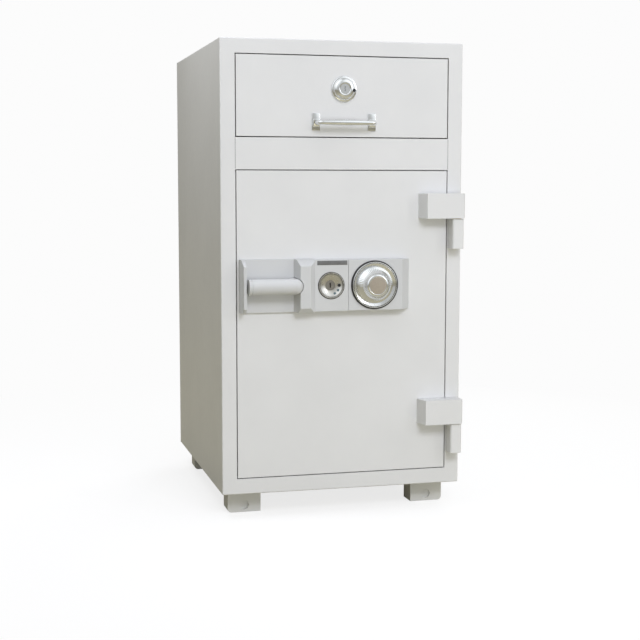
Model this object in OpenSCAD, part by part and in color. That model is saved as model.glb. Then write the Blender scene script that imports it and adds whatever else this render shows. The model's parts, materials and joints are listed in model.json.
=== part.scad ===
// Night deposit safe: a fire lined strongroom compartment with a deposit drawer above it.
// Inside the modules Y is zero at the front face of the body and grows into it,
// X is zero at the middle of the body and Z is zero at the floor.

/* [Body] */
// Width of the body
body_w = 494; // [480:1:560]
// Depth of the body behind its front face
body_d = 555; // [500:1:700]
// Height of the body without its feet
body_h = 892; // [860:1:1000]
// Thickness of the outer and inner sheets
sheet_t = 2; // [1.5:0.25:2.5]
// Thickness of the front frame plate
frame_t = 3; // [2.5:0.5:4]
// Width of the frame at each side of the openings
stile_w = 29.5; // [27:0.5:34]
// Height of the frame above the drawer
rail_top = 29; // [27:1:40]
// Height of the frame below the door
rail_base = 31; // [30:1:45]
// Height of the panel between the drawer and the door
band_h = 62; // [58:1:80]
// Height of the drawer opening
drawer_open_h = 160; // [156:1:180]
// Thickness of the wall behind the strongroom compartment
back_wall_t = 40; // [30:1:60]
// Visible gap round the door and the drawer front
front_gap = 2; // [1.5:0.25:3]

/* [Feet] */
// Height of a foot
foot_h = 48; // [30:1:80]
// Width of a foot
foot_w = 68; // [50:1:80]
// Depth of a foot
foot_d = 44; // [36:1:60]
// Distance of a foot behind the front face and before the back
foot_setback = 48; // [20:1:80]
// Distance of the middle of a foot from the side of the body
foot_side = 53; // [47:1:62]
// Diameter of the tie-down hole in the face of a foot
foot_hole_d = 18; // [12:1:20]
// Diameter of the bolt that holds a foot
foot_bolt_d = 12; // [8:1:14]

/* [Door] */
// Depth of the pan that forms the front of the door
door_pan_d = 10; // [8:0.5:11]
// Depth of the whole door
door_d = 75; // [70:1:85]
// How far the rebate behind the door stands in from the opening
lip_w = 13.5; // [12:0.5:16]
// Depth of the rebate bar
lip_d = 19; // [16:1:21]
// Gap between the inner door and the rebate at the sides
plug_gap = 12; // [11:0.5:14]
// Gap between the inner door and the rebate above and below
plug_end_gap = 4; // [3:0.5:6]
// Depth of the fire filling in the door
fill_d = 28; // [24:1:30]

/* [Hinges] */
// Distance of the hinge pins beyond the edge of the opening
hinge_off = 13.5; // [12:0.5:15]
// Distance of the hinge pins before the front face
hinge_out = 17; // [16:0.5:20]
// Diameter of a hinge pin
hinge_pin_d = 12; // [8:0.5:14]
// Height of the arm on the door
arm_h = 50; // [40:1:60]
// Length of the arm at the door face
arm_w = 79; // [70:1:110]
// Height of the leaf on the body
leaf_h = 60; // [45:1:70]
// Middle of the upper arm above the floor
arm_upper_z = 617.5; // [560:1:640]
// Middle of the lower arm above the floor
arm_lower_z = 200.5; // [160:1:260]
// Thickness of the washer between arm and leaf
washer_t = 1; // [0.5:0.5:2]

/* [Handle] */
// Height of the lock row above the floor
lock_z = 462; // [440:1:480]
// Distance of the lever hub from the left edge of the door
hub_inset = 109; // [105.5:0.5:111]
// Radius of the lever and of its hub
grip_r = 15.5; // [12:0.5:15.5]
// Middle of the lever before the door face
grip_out = 33; // [30:0.5:38]
// Length of the lever from its hub
grip_len = 93; // [80:1:93]
// Radius of the handle spindle
spindle_r = 8; // [6:0.5:10]
// Height of the handle housing and the lock plates
housing_h = 105; // [96:1:110]
// Depth of the housing cheeks
cheek_out = 34; // [30:1:36]
// Angle that the lever turns through
lever_turn = 40; // [30:1:40]

/* [Bolts] */
// Radius of a locking bolt
bolt_r = 10; // [8:0.5:12]
// Travel of the locking bolts
bolt_throw = 16; // [12:0.5:18]
// Least distance of the outer locking bolts from the ends of the inner door
bolt_end = 29.5; // [24:0.5:80]
// Depth of the bolt middles behind the front face
bolt_y = 47.5; // [46:0.5:50]

/* [Locks] */
// Distance of the key lock from the lever hub
key_off = 75.5; // [73.5:0.5:77.5]
// Outer diameter of the dished ring round the key lock
cup_d = 54; // [46:1:58]
// Distance of the combination dial from the lever hub
dial_off = 164.5; // [162.5:0.5:166.5]
// Outer diameter of the dial surround
dial_d = 97; // [88:1:98]
// How far the dial stands out from the door
dial_out = 47; // [40:1:48]
// Depth of the lock plates
plate_out = 22; // [16:1:24]
// Width of the plate round the key lock
lock_plate_w = 68; // [62:1:70]
// Width of the flat part of the plate behind the dial
dial_plate_w = 111.5; // [106:0.5:120]
// How far the right end of the dial plate slopes out
dial_plate_slope = 21; // [5:1:30]
// Radius of a key plug
plug_r = 10; // [8:0.5:11]
// Radius of the eccentric pin's circle on a key plug
cam_r = 7; // [6:0.25:7.5]
// Radius of a code wheel
wheel_r = 28; // [24:0.5:29]
// Radius of the dial spindle
dial_spindle_r = 4; // [3:0.5:5]
// Travel of the combination lock bolt
lock_throw = 6; // [5:0.5:7]

/* [Drawer] */
// Gap at each side of the drawer tray for its runners
tray_gap = 21.5; // [19.5:0.5:24.5]
// Length of the drawer tray
tray_len = 330; // [326:1:340]
// Height of the tray floor above the lower edge of the drawer opening
tray_rise = 57; // [56:1:60]
// Height of the tray sides above the floor
tray_side_h = 87; // [60:1:90]
// Depth of the drawer front
drawer_front_d = 20; // [18:1:22]
// How far the drawer pulls out
drawer_travel = 300; // [280:1:302]
// Thickness of the tray sheet
tray_t = 1.5; // [1:0.25:2]
// Depth of the drawer well and of the drop behind the front face
well_d = 470; // [440:1:480]
// Length of the drop floor from its hinge to its rollers
flap_len = 186; // [170:1:188]
// Angle at which the drop floor hangs when the drawer is shut
flap_drop = 32; // [26:1:32]
// Radius of a drop floor roller
roller_r = 6; // [5:0.5:6.5]
// Height of a drawer runner
runner_h = 45; // [36:1:46]
// Height of the drawer lock above the lower edge of the opening
drawer_lock_rise = 95; // [90:1:100]
// Diameter of the ring round the drawer lock
drawer_ring_d = 52; // [46:1:56]
// Distance between the foot plates of the drawer pull
pull_w = 114; // [90:1:140]
// Height of the pull bar above the lower edge of the opening
pull_rise = 27; // [24:1:34]
// How far the pull bar stands out from the drawer front
pull_out = 28; // [24:1:34]
// Radius of the pull bar
pull_bar_r = 6; // [5:0.5:8]

/* [Hidden] */
$fn = 64;
run_fit = 0.05;
seat_fit = 0.02;
slide_fit = 0.5;

half_w = body_w / 2;
z_base = foot_h;
z_top = foot_h + body_h;
front_y = -(body_d - grip_out - grip_r) / 2;
open_half = half_w - stile_w;
door_z0 = z_base + rail_base;
drawer_z1 = z_top - rail_top;
drawer_z0 = drawer_z1 - drawer_open_h;
door_z1 = drawer_z0 - band_h;
skin_x = open_half + sheet_t;
bar_gap = 0.3;

lip_y = door_pan_d + 2;
lip_back = lip_y + lip_d;
lip_half = open_half - lip_w;
lip_z0 = door_z0 + lip_w;
lip_z1 = door_z1 - lip_w;
room_back = body_d - back_wall_t;

door_half = open_half - front_gap;
pan_z0 = door_z0 + front_gap;
pan_z1 = door_z1 - front_gap;
inner_half = lip_half - plug_gap;
inner_z0 = lip_z0 + plug_end_gap;
inner_z1 = lip_z1 - plug_end_gap;
pan_t = 3;
flange_t = 2;
seal_w = 8;
seal_gap = 0.1;
seal_inset = 4;
screw_r = 2.5;
screw_inset = 14;
screw_len = 12;
screw_head_h = 2;
screw_head_r = screw_r + 2;
dead_bar_y0 = lip_back + 5;
dead_bar_t = 8;
dead_bar_over = 4;

hinge_x = open_half + hinge_off;
hinge_pin_r = hinge_pin_d / 2;
arm_end = 12;
arm_slant = 8;
arm_corner = 2;
knuckle_gap = 0.8;
pin_end_gap = 1.5;
door_gap = 0.6;
leaf_corner = 4;
leaf_behind = 4;
pin_into_arm = 30;
pin_into_leaf = 40;

foot_spacing = body_w - 2 * foot_side;
foot_corner = 8;
foot_wall = 5.5;
foot_bolt_head_h = foot_bolt_d * 0.65;
foot_bolt_head_r = foot_bolt_d * 0.9;
foot_hole_z = foot_wall + foot_hole_d / 2;
foot_hole_depth = foot_d / 2 - foot_bolt_head_r - slide_fit - foot_wall;

hub_x = hub_inset - door_half;
key_x = hub_x + key_off;
dial_x = hub_x + dial_off;
housing_t = 6;
cheek_w = 8.5;
cheek_draft = 2.5;
cheek_top_h = 13;
cheek_top_in = 18;
cheek_low_h = 9;
cheek_low_in = 10;
cheek_draw_in = 11;
hub_cheek = 10.5;
hub_slant = 7;
hub_notch = 1.2;
lever_gap = 3;
lever_air = 0.3;
bush_r = spindle_r + 4;
spindle_seat = 4;
plate_off = 42.5;
plate_x0 = hub_x + plate_off;
plate_seam = 0.5;
plate_end = 2;
cup_lip = 2;
dial_hole = 2;

bolts_drop = 25;
bolts_z = lock_z - bolts_drop;
bolt_pitch = min(inner_z1 - bolts_z, bolts_z - inner_z0) - bolt_end;
bolts_over = 30;
bolt_show = 3.5;
bolt_rest_x = -inner_half - bolt_show;
carrier_inset = 52;
carrier_x = carrier_inset - inner_half;
carrier_t = 10;
carrier_side = 5;
guide_len = 24;
guide_wall = 5;
slide_y0 = bolt_y - 3.5;
slide_y1 = bolt_y + 2.5;
strike_y1 = bolt_y - bolt_r - 1.5;
crank_r = bolt_throw / (2 * sin(lever_turn / 2));
crank_pin_r = 3;
crank_pin_gap = 0.15;
crank_half = 6;
crank_y0 = slide_y0 - 8;
crank_y1 = slide_y0 - 2;
tail_past_dial = 24;
tail_round_pin = 12;
slot_over_pin = 6;
slot_under_pin = 8;

case_y0 = fill_d;
case_t = 2;
case_half = 22;
lock_half = 10;
nose_half = 5;
key_bolt_t = 6;
wheel_t = 3;
wheel_step = (slide_y0 - case_y0 - case_t - 2) / 3;
wheel_y = [for (i = [0:2]) case_y0 + case_t + 1 + i * wheel_step];
gate_half = 4;
gate_depth = 7;
post_r = wheel_r * 0.3;
post_len = slide_y0 - case_y0 - case_t - slide_fit;
drive_y0 = slide_y1 + 1.5;
drive_y1 = drive_y0 + 3.5;
fence_h = 2;
fence_half = 3;
fence_gap = 0.5;
shoulder_h = 7.5;
dial_case_half = wheel_r + fence_gap + fence_h + lock_throw + 1.5 + case_t;
dial_case_y1 = slide_y1 + 10;
key_case_y1 = slide_y1;

tail_z1 = lock_z - dial_case_half - 6;
tail_z0 = tail_z1 - 24;
key_throw = cam_r * sqrt(2);
key_pin_r = 2.5;
plug_inset = 8;
plug_disc_t = 4;
plug_disc_r = cam_r + 4;
slit_half = 1.2;
slit_reach = 5;
slit_depth = 8;
bolt_over_pin = 2;
notch_depth = max(key_throw, lock_throw) + 2;
lock_tip = 1;

drawer_bolt_y0 = 8.5;
drawer_bolt_y1 = 13.5;
drawer_slot_h = 14;
drawer_plug_out = 9;
drawer_plug_seat = 4;
well_y0 = frame_t;
tray_half = open_half - tray_gap;
tray_edge = 2;
tray_z = drawer_z0 + tray_rise;
tray_back = drawer_front_d + tray_len;
drawer_half = open_half - front_gap;
pivot_drop = 4;
pivot_z = tray_z - pivot_drop;
pivot_r = 3;
pivot_pin_r = 2.5;
pivot_half = 8;
pivot_wall = 7;
flap_end_gap = 12;
pivot_y = tray_back - flap_len - flap_end_gap;
flap_t = 2;
flap_half = tray_half - tray_t - 1;
axle_drop = 4;
axle_r = 2.5;
axle_lug_w = 6;
axle_lug_d = 8;
axle_lug_in = 20;
track_t = 4;
track_off = 7;
track_x = tray_half + track_off;
track_gap = 0.5;
track_rim = 6;
track_steps = 30;
runner_rise = 56;
runner_z = tray_z + runner_rise;
runner_inset = 5;
runner_y0 = drawer_front_d + runner_inset;
runner_len = 320;
runner_t = 2;
runner_gap = 0.5;
runner_air = 1;
runner_lip = 7.5;
drawer_lock_z = drawer_z0 + drawer_lock_rise;
pull_foot_half = 8;
pull_foot_t = 3;
pull_foot_down = 13;
pull_foot_up = 21;

// Height and place of the drop floor's rollers when the drawer is pulled out by s
function flap_angle(s) = flap_drop * (1 - s / drawer_travel);
function roller_y(s) = pivot_y - s + flap_len * cos(flap_angle(s)) - axle_drop * sin(flap_angle(s));
function roller_z(s) = pivot_z - flap_len * sin(flap_angle(s)) - axle_drop * cos(flap_angle(s));
function track_point(i) = let(s = drawer_travel * i / track_steps) [roller_y(s), roller_z(s)];
function track_normal(i) =
    let(a = track_point(max(i - 1, 0)), b = track_point(min(i + 1, track_steps)), d = b - a)
    [-d[1], d[0]] / norm(d);
function track_band(w) = concat(
    [for (i = [0:track_steps]) track_point(i) + w * track_normal(i)],
    [for (i = [track_steps:-1:0]) track_point(i) - w * track_normal(i)]);

chute_lead = 22;
chute_y0 = pivot_y - chute_lead;

paint = [0.86, 0.86, 0.85];
paint_soft = [0.78, 0.79, 0.79];
steel = [0.66, 0.67, 0.68];
bright = [0.82, 0.83, 0.84];
brass = [0.78, 0.66, 0.38];
lining = [0.80, 0.78, 0.73];
black = [0.12, 0.12, 0.12];

module placed() {
    translate([0, front_y, 0]) children();
}

module box(x0, x1, y0, y1, z0, z1) {
    translate([x0, y0, z0]) cube([x1 - x0, y1 - y0, z1 - z0]);
}

// A box that is equally wide on both sides of the middle
module span(x, y0, y1, z0, z1) {
    box(-x, x, y0, y1, z0, z1);
}

module rod_x(x0, x1, y, z, r) {
    translate([x0, y, z]) rotate([0, 90, 0]) cylinder(h = x1 - x0, r = r);
}

module rod_y(x, z, y0, y1, r) {
    translate([x, y0, z]) rotate([-90, 0, 0]) cylinder(h = y1 - y0, r = r);
}

module both_sides() {
    children();
    mirror([1, 0, 0]) children();
}

// A round form about a line along Y: the profile gives radius and distance before the face
module turned(x, z) {
    translate([x, 0, z]) rotate([90, 0, 0]) rotate_extrude() children();
}

// The middles of the four feet; the rear feet face backwards
module at_feet() {
    inset = foot_setback + foot_d / 2;
    both_sides() {
        translate([-foot_spacing / 2, inset, 0]) children();
        translate([-foot_spacing / 2, body_d - inset, 0]) mirror([0, 1, 0]) children();
    }
}

// Body

module outer_shell() {
    color(paint) placed() difference() {
        span(half_w, frame_t, body_d - sheet_t, z_base, z_top);
        span(half_w - sheet_t, frame_t - 1, body_d, z_base + sheet_t, z_top - sheet_t);
        at_feet() cylinder(h = z_base + sheet_t + 1, r = foot_bolt_d / 2 + run_fit);
    }
}

module back_panel() {
    color(paint) placed() span(half_w, body_d - sheet_t, body_d, z_base, z_top);
}

module front_frame() {
    color(paint) placed() difference() {
        span(half_w, 0, frame_t, z_base, z_top);
        span(open_half, -1, frame_t + 1, door_z0, drawer_z1);
    }
}

module crossbar() {
    color(paint) placed() span(open_half - bar_gap, 0, frame_t, door_z1, drawer_z0);
}

module door_jamb() {
    color(paint) placed() difference() {
        span(skin_x, frame_t, lip_back, door_z0 - sheet_t, door_z1 + sheet_t);
        span(open_half, frame_t - 1, lip_y, door_z0, door_z1);
        span(lip_half, frame_t - 1, lip_back + 1, lip_z0, lip_z1);
    }
}

// Cast slabs that fill the walls between the outer and inner sheets
module fire_lining() {
    y1 = body_d - sheet_t;
    z0 = z_base + sheet_t;
    z1 = z_top - sheet_t;
    shelf_z0 = door_z1 + sheet_t;
    shelf_z1 = drawer_z0 - sheet_t;
    color(lining) placed() {
        both_sides() box(skin_x, half_w - sheet_t, frame_t, y1, z0, z1);
        span(skin_x, frame_t, y1, z0, door_z0 - sheet_t);
        difference() {
            span(skin_x, frame_t, y1, drawer_z1 + sheet_t, z1);
            drawer_bolt_slot(drawer_z1, drawer_z1 + drawer_slot_h);
        }
        span(skin_x, room_back + sheet_t, y1, door_z0 - sheet_t, shelf_z0);
        span(skin_x, well_d + sheet_t, y1, shelf_z1, drawer_z1 + sheet_t);
        span(skin_x, frame_t, chute_y0 - sheet_t, shelf_z0, shelf_z1);
        span(skin_x, well_d + sheet_t, y1, shelf_z0, shelf_z1);
    }
}

module safe_liner() {
    color(paint_soft) placed() difference() {
        span(skin_x, lip_back, room_back + sheet_t, door_z0 - sheet_t, door_z1 + sheet_t);
        span(open_half, lip_back - 1, room_back, door_z0, door_z1);
        span(open_half, chute_y0, well_d, door_z1 - 1, door_z1 + sheet_t + 1);
    }
}

module drawer_well() {
    color(paint_soft) placed() difference() {
        span(skin_x, well_y0, well_d + sheet_t, drawer_z0 - sheet_t, drawer_z1 + sheet_t);
        span(open_half, well_y0 - 1, well_d, drawer_z0, drawer_z1);
        span(open_half, chute_y0, well_d, drawer_z0 - sheet_t - 1, drawer_z0 + 1);
        drawer_bolt_slot(drawer_z1 - 1, drawer_z1 + sheet_t + 1);
    }
}

module drop_chute() {
    color(paint_soft) placed() difference() {
        span(skin_x, chute_y0 - sheet_t, well_d + sheet_t, door_z1 + sheet_t, drawer_z0 - sheet_t);
        span(open_half, chute_y0, well_d, door_z1, drawer_z0);
    }
}

module feet() {
    r = foot_corner;
    color(paint_soft) placed() at_feet() difference() {
        rotate([90, 0, 0]) linear_extrude(foot_d, center = true) {
            translate([r - foot_w / 2, r]) circle(r = r);
            translate([r - foot_w / 2, 0]) square([foot_w - r, foot_h]);
            translate([-foot_w / 2, r]) square([r, foot_h - r]);
        }
        translate([0, 0, -1]) cylinder(h = foot_h + 2, r = foot_bolt_d / 2 + run_fit);
        translate([0, 0, -1]) cylinder(h = foot_bolt_d + 1, r = foot_bolt_head_r + slide_fit);
        translate([0, -foot_d / 2 - 1, foot_hole_z]) rotate([-90, 0, 0])
            cylinder(h = foot_hole_depth + 1, r = foot_hole_d / 2);
    }
}

module foot_bolts() {
    color(steel) placed() at_feet() {
        translate([0, 0, foot_bolt_d - foot_bolt_head_h])
            cylinder(h = foot_bolt_head_h, r = foot_bolt_head_r, $fn = 6);
        translate([0, 0, foot_bolt_d]) cylinder(h = foot_h + sheet_t - foot_bolt_d, r = foot_bolt_d / 2);
    }
}

// Hinges

// The leaf and the arm are stacked: the pin stands in the leaf and the arm turns on it
module at_hinges() {
    for (z = [arm_upper_z, arm_lower_z])
        translate([hinge_x, -hinge_out, z - arm_h / 2]) children();
}

module hinge_leaves() {
    out = hinge_out - leaf_behind;
    color(paint) placed() at_hinges() difference() {
        translate([0, 0, -leaf_h - washer_t]) hull() {
            translate([-arm_end, hinge_out - 1, 0]) cube([arm_end * 2, 1, leaf_h]);
            for (x = [-arm_end + leaf_corner, arm_end - leaf_corner])
                translate([x, leaf_corner - out, 0]) cylinder(h = leaf_h, r = leaf_corner, $fn = 32);
        }
        translate([0, 0, -pin_into_leaf - washer_t])
            cylinder(h = pin_into_leaf + 5, r = hinge_pin_r + seat_fit);
    }
}

module hinge_pins() {
    color(bright) placed() at_hinges() translate([0, 0, -pin_into_leaf - washer_t])
        cylinder(h = pin_into_leaf + washer_t + pin_into_arm, r = hinge_pin_r);
}

module hinge_washers() {
    color(brass) placed() at_hinges() translate([0, 0, -washer_t]) difference() {
        cylinder(h = washer_t, r = hinge_pin_r + 4);
        translate([0, 0, -1]) cylinder(h = washer_t + 2, r = hinge_pin_r + run_fit);
    }
}

module hinge_arms() {
    knuckle_r = hinge_out - knuckle_gap;
    left = arm_end - arm_w;
    color(paint) placed() at_hinges() difference() {
        linear_extrude(arm_h) {
            polygon([[left - arm_slant, hinge_out], [left, -hinge_out], [arm_end - arm_corner, -hinge_out],
                [arm_end, arm_corner - hinge_out], [arm_end, 0], [0, 0], [0, hinge_out - door_gap],
                [-hinge_off - front_gap, hinge_out - door_gap], [-hinge_off - front_gap, hinge_out]]);
            intersection() {
                circle(r = knuckle_r);
                square([arm_end, hinge_out]);
            }
        }
        translate([0, 0, -1]) cylinder(h = pin_into_arm + 1 + pin_end_gap, r = hinge_pin_r + run_fit);
    }
}

module strike_bar() {
    color(steel) placed() box(-open_half, -lip_half, lip_back, strike_y1,
        bolts_z - bolt_pitch - bolts_over, bolts_z + bolt_pitch + bolts_over);
}

// Door

// The holes of the door that let the handle, the locks and the dial through
module door_holes(y0, y1) {
    rod_y(hub_x, lock_z, y0, y1, bush_r + seat_fit);
    rod_y(key_x, lock_z, y0, y1, plug_r + run_fit);
    rod_y(dial_x, lock_z, y0, y1, dial_spindle_r + dial_hole);
}

module door_pan() {
    color(paint) placed() difference() {
        span(door_half, 0, door_pan_d, pan_z0, pan_z1);
        span(door_half - pan_t, pan_t, door_pan_d + 1, pan_z0 + pan_t, pan_z1 - pan_t);
        door_holes(-1, pan_t + 1);
    }
}

module door_fill() {
    color(lining) placed() difference() {
        union() {
            span(door_half - pan_t, pan_t, door_pan_d - flange_t, pan_z0 + pan_t, pan_z1 - pan_t);
            span(inner_half - sheet_t, pan_t, fill_d, inner_z0 + sheet_t, inner_z1 - sheet_t);
        }
        door_holes(0, fill_d + 1);
    }
}

module inner_door() {
    flange_y = door_pan_d - flange_t;
    color(paint) placed() difference() {
        union() {
            span(door_half - pan_t, flange_y, door_pan_d, pan_z0 + pan_t, pan_z1 - pan_t);
            span(inner_half, flange_y, door_d - sheet_t, inner_z0, inner_z1);
        }
        span(inner_half - sheet_t, 0, door_d, inner_z0 + sheet_t, inner_z1 - sheet_t);
        for (i = [-1:1])
            rod_x(-inner_half - 1, -inner_half + sheet_t + 1, bolt_y, bolts_z + i * bolt_pitch,
                bolt_r + 2 * run_fit);
    }
}

module at_cover_screws() {
    for (x = [screw_inset - inner_half, inner_half - screw_inset])
        for (z = [inner_z0 + screw_inset, bolts_z - bolt_pitch / 2, bolts_z + bolt_pitch / 2,
            inner_z1 - screw_inset])
            translate([x, door_d, z]) rotate([90, 0, 0]) children();
}

module door_back_cover() {
    color(paint_soft) placed() difference() {
        span(inner_half, door_d - sheet_t, door_d, inner_z0, inner_z1);
        at_cover_screws() translate([0, 0, -1]) cylinder(h = sheet_t + 2, r = screw_r + run_fit);
    }
}

module cover_screws() {
    color(bright) placed() at_cover_screws() {
        cylinder(h = screw_len, r = screw_r);
        translate([0, 0, -screw_head_h]) cylinder(h = screw_head_h, r = screw_head_r);
    }
}

module fire_seal() {
    outer = door_half - seal_inset;
    z0 = pan_z0 + seal_inset;
    z1 = pan_z1 - seal_inset;
    color(black) placed() difference() {
        span(outer, door_pan_d, lip_y - seal_gap, z0, z1);
        span(outer - seal_w, door_pan_d - 1, lip_y + 1, z0 + seal_w, z1 - seal_w);
    }
}

module dead_bar() {
    color(steel) placed() box(inner_half, lip_half + dead_bar_over, dead_bar_y0, dead_bar_y0 + dead_bar_t,
        bolts_z - bolt_pitch - bolts_over, bolts_z + bolt_pitch + bolts_over / 2);
}

module handle_housing() {
    x0 = hub_x - grip_len - lever_gap - cheek_w;
    x1 = hub_x + hub_cheek;
    z0 = lock_z - housing_h / 2;
    z1 = lock_z + housing_h / 2;
    color(paint_soft) placed() difference() {
        union() {
            box(x0, plate_x0, -housing_t, 0, z0, z1);
            housing_cheek(x0, x0 + cheek_w, z0, z1, [[x0, 0], [x0, -housing_t],
                [x0 + cheek_draft, -cheek_out], [x0 + cheek_w, -cheek_out], [x0 + cheek_w, 0]]);
            housing_cheek(x1 - hub_slant, plate_x0, z0, z1, [[x1 - hub_slant, 0],
                [x1 - hub_slant, -housing_t], [x1, -cheek_out], [plate_x0 - cheek_draw_in, -cheek_out],
                [plate_x0, -plate_out], [plate_x0, 0]]);
        }
        rod_y(hub_x, lock_z, -cheek_out - 1, -housing_t, grip_r + hub_notch);
        rod_y(hub_x, lock_z, -housing_t - 1, 1, bush_r + seat_fit);
    }
}

// A cheek of the given plan, with its upper and lower front edges cut back
module housing_cheek(x0, x1, z0, z1, plan) {
    intersection() {
        translate([x0, 0, 0]) rotate([90, 0, 90]) linear_extrude(x1 - x0)
            polygon([[0, z0], [cheek_low_in - cheek_out, z0], [-cheek_out, z0 + cheek_low_h],
                [-cheek_out, z1 - cheek_top_h], [cheek_top_in - cheek_out, z1], [0, z1]]);
        translate([0, 0, z0]) linear_extrude(z1 - z0) polygon(plan);
    }
}

module handle_bush() {
    color(black) placed() difference() {
        rod_y(hub_x, lock_z, -housing_t, pan_t, bush_r);
        rod_y(hub_x, lock_z, -housing_t - 1, pan_t + 1, spindle_r + run_fit);
    }
}

module lock_plate() {
    z0 = lock_z - housing_h / 2 + plate_end;
    z1 = lock_z + housing_h / 2 - plate_end;
    color(paint_soft) placed() difference() {
        box(plate_x0, plate_x0 + lock_plate_w, -plate_out, 0, z0, z1);
        rod_y(key_x, lock_z, -plate_out - 1, 1, cup_d / 2 - cup_lip + seat_fit);
    }
}

module dial_plate() {
    x0 = plate_x0 + lock_plate_w + plate_seam;
    x1 = x0 + dial_plate_w;
    z0 = lock_z - housing_h / 2 + plate_end;
    color(paint_soft) placed() difference() {
        translate([0, 0, z0]) linear_extrude(housing_h - 2 * plate_end)
            polygon([[x0, 0], [x0, -plate_out], [x1, -plate_out], [x1 + dial_plate_slope, 0]]);
        rod_y(dial_x, lock_z, -plate_out - 1, 1, dial_spindle_r + 2 * dial_hole);
    }
}

module dial_surround() {
    r = dial_d / 2;
    color(bright) placed() turned(dial_x, lock_z) polygon([
        [dial_spindle_r + run_fit, plate_out], [r, plate_out], [r, plate_out + 3],
        [r - 1.5, plate_out + 4.5], [r - 4, plate_out + 4.5], [r - 4.5, plate_out + 1],
        [dial_spindle_r + run_fit, plate_out + 1]]);
}

// The dished ring: its wall falls from the rim to the key plug
module key_cup() {
    r = cup_d / 2;
    bore = plug_r + run_fit;
    color(bright) placed() turned(key_x, lock_z) polygon([
        [bore, 0], [r - cup_lip, 0], [r - cup_lip, plate_out], [r, plate_out], [r, plate_out + 1.5],
        [r - 1.5, plate_out + 2.5], [r - 3, plate_out + 2.5], [r - 6, plate_out - 1],
        [r - 10, plate_out - 5], [bore + 2, plate_out - 8], [bore, plate_out - 8]]);
}

// A lock case: open at its back and pierced where the bolt leaves it
module lock_box(x, z, half, y0, y1, slot_half, slot_y0, slot_y1, side) {
    difference() {
        box(x - half, x + half, y0, y1, z - half, z + half);
        box(x - half + case_t, x + half - case_t, y0 + case_t, y1 + 1, z - half + case_t, z + half - case_t);
        box(x - slot_half, x + slot_half, slot_y0, slot_y1,
            z + side * half - case_t - 1, z + side * half + case_t + 1);
    }
}

module key_case() {
    color(steel) placed() difference() {
        lock_box(key_x, lock_z, case_half, case_y0, key_case_y1,
            lock_half + slide_fit, slide_y0 - key_bolt_t - slide_fit, slide_y0 + slide_fit, -1);
        rod_y(key_x, lock_z, case_y0 - 1, case_y0 + case_t + 1, plug_r + run_fit);
    }
}

module lock_case() {
    color(steel) placed() difference() {
        union() {
            lock_box(dial_x, lock_z, dial_case_half, case_y0, dial_case_y1,
                lock_half + slide_fit, slide_y0 - slide_fit, slide_y1 + slide_fit, -1);
            rod_y(dial_x, lock_z, case_y0, case_y0 + case_t + post_len, post_r);
        }
        rod_y(dial_x, lock_z, case_y0 - 1, case_y0 + case_t + post_len + 1, dial_spindle_r + run_fit);
    }
}

// Guides in which the locking bolts slide, fixed to the inner door
module bolt_guides() {
    x0 = -inner_half + sheet_t;
    color(steel) placed() for (i = [-1:1]) translate([0, 0, bolts_z + i * bolt_pitch]) difference() {
        box(x0, x0 + guide_len, fill_d, bolt_y + bolt_r + guide_wall,
            -bolt_r - guide_wall, bolt_r + guide_wall);
        rod_x(x0 - 1, x0 + guide_len + 1, bolt_y, 0, bolt_r + run_fit);
    }
}

// Handle and bolts

module lever_handle() {
    color(paint) placed() difference() {
        union() {
            rod_x(hub_x - grip_len, hub_x, -grip_out, lock_z, grip_r);
            translate([hub_x, -grip_out, lock_z]) sphere(r = grip_r);
            rod_y(hub_x, lock_z, -grip_out, -housing_t - lever_air, grip_r);
        }
        rod_y(hub_x, lock_z, spindle_seat - grip_out, 0, spindle_r + seat_fit);
    }
}

module handle_spindle() {
    a = 90 - lever_turn / 2;
    color(steel) placed() {
        rod_y(hub_x, lock_z, spindle_seat - grip_out, crank_y1 + 1, spindle_r);
        translate([hub_x, crank_y0, lock_z]) rotate([0, -a, 0]) {
            box(0, crank_r + crank_half, 0, crank_y1 - crank_y0, -crank_half, crank_half);
            rod_y(crank_r, 0, 1, slide_y1 - crank_y0, crank_pin_r);
        }
    }
}

module main_bolts() {
    color(bright) placed() for (i = [-1:1])
        rod_x(bolt_rest_x, carrier_x, bolt_y, bolts_z + i * bolt_pitch, bolt_r);
}

// The bar that joins the bolts, with a tail that the crank drives and the locks block
module bolt_carrier() {
    pin_x = hub_x + crank_r * sin(lever_turn / 2);
    pin_z = lock_z + crank_r;
    tail_x1 = dial_x + tail_past_dial;
    color(steel) placed() difference() {
        union() {
            box(carrier_x, carrier_x + carrier_t, slide_y0 - carrier_side, slide_y1 + carrier_side,
                bolts_z - bolt_pitch - bolts_over / 2, bolts_z + bolt_pitch + bolts_over / 2);
            box(carrier_x + carrier_t, tail_x1, slide_y0, slide_y1, tail_z0, tail_z1);
            box(carrier_x + carrier_t, pin_x + tail_round_pin, slide_y0, slide_y1,
                tail_z1, pin_z + tail_round_pin);
        }
        box(pin_x - crank_pin_r - crank_pin_gap, pin_x + crank_pin_r + crank_pin_gap,
            slide_y0 - 1, slide_y1 + 1, pin_z - slot_under_pin, pin_z + slot_over_pin);
        for (x = [key_x, dial_x])
            for (shift = [0, bolt_throw])
                box(x + shift - nose_half - slide_fit, x + shift + nose_half + slide_fit,
                    slide_y0 - 1, slide_y1 + 1, tail_z1 - notch_depth, tail_z1 + 1);
    }
}

// Combination lock

module dial_ring() {
    r = dial_d / 2 - 5.5;
    color(bright) placed() turned(dial_x, lock_z) polygon([
        [dial_spindle_r + seat_fit, plate_out + 2], [r, plate_out + 2], [r, plate_out + 4],
        [r * 0.56, plate_out + 10], [dial_spindle_r + seat_fit, plate_out + 10]]);
}

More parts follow.
